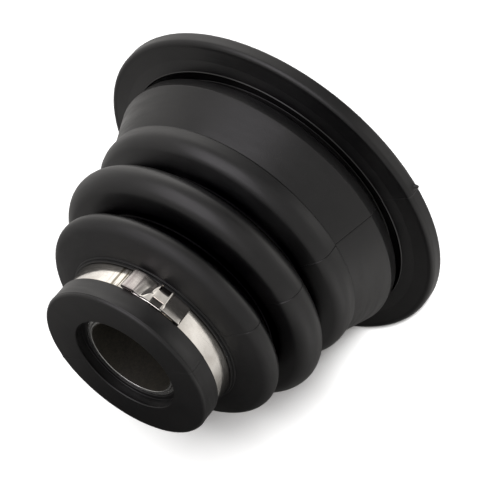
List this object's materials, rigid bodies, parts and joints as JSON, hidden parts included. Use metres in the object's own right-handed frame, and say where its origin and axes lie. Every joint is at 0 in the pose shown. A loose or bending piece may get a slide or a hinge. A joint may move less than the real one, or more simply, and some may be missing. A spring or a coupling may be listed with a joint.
{
  "type": "rubber bellows boot",
  "caption": "Rubber bellows boot that seals a shaft where it passes through a panel, with a snap-in large end, a band clamp and a lined bush in its small end.",
  "frame": {"origin": "centre of the large end's flat face", "axes": "+Z along the boot's axis from the large end to the small end; XZ is the mould's parting plane, and the clamp's closure lies between +X and +Y"},
  "size_m": [0.12, 0.12, 0.0824],
  "materials": {
    "boot_rubber": "satin, moulded",
    "clamp_strip": "bright rolled strip",
    "sleeve_steel": "bright turned",
    "bush_lining": "matt lining on a bright steel back"
  },
  "bodies": {
    "root": {"bellows_boot": "boot_rubber", "band_clamp": "clamp_strip", "steel_sleeve": "sleeve_steel", "lined_bush": "bush_lining"}
  },
  "joints": []
}
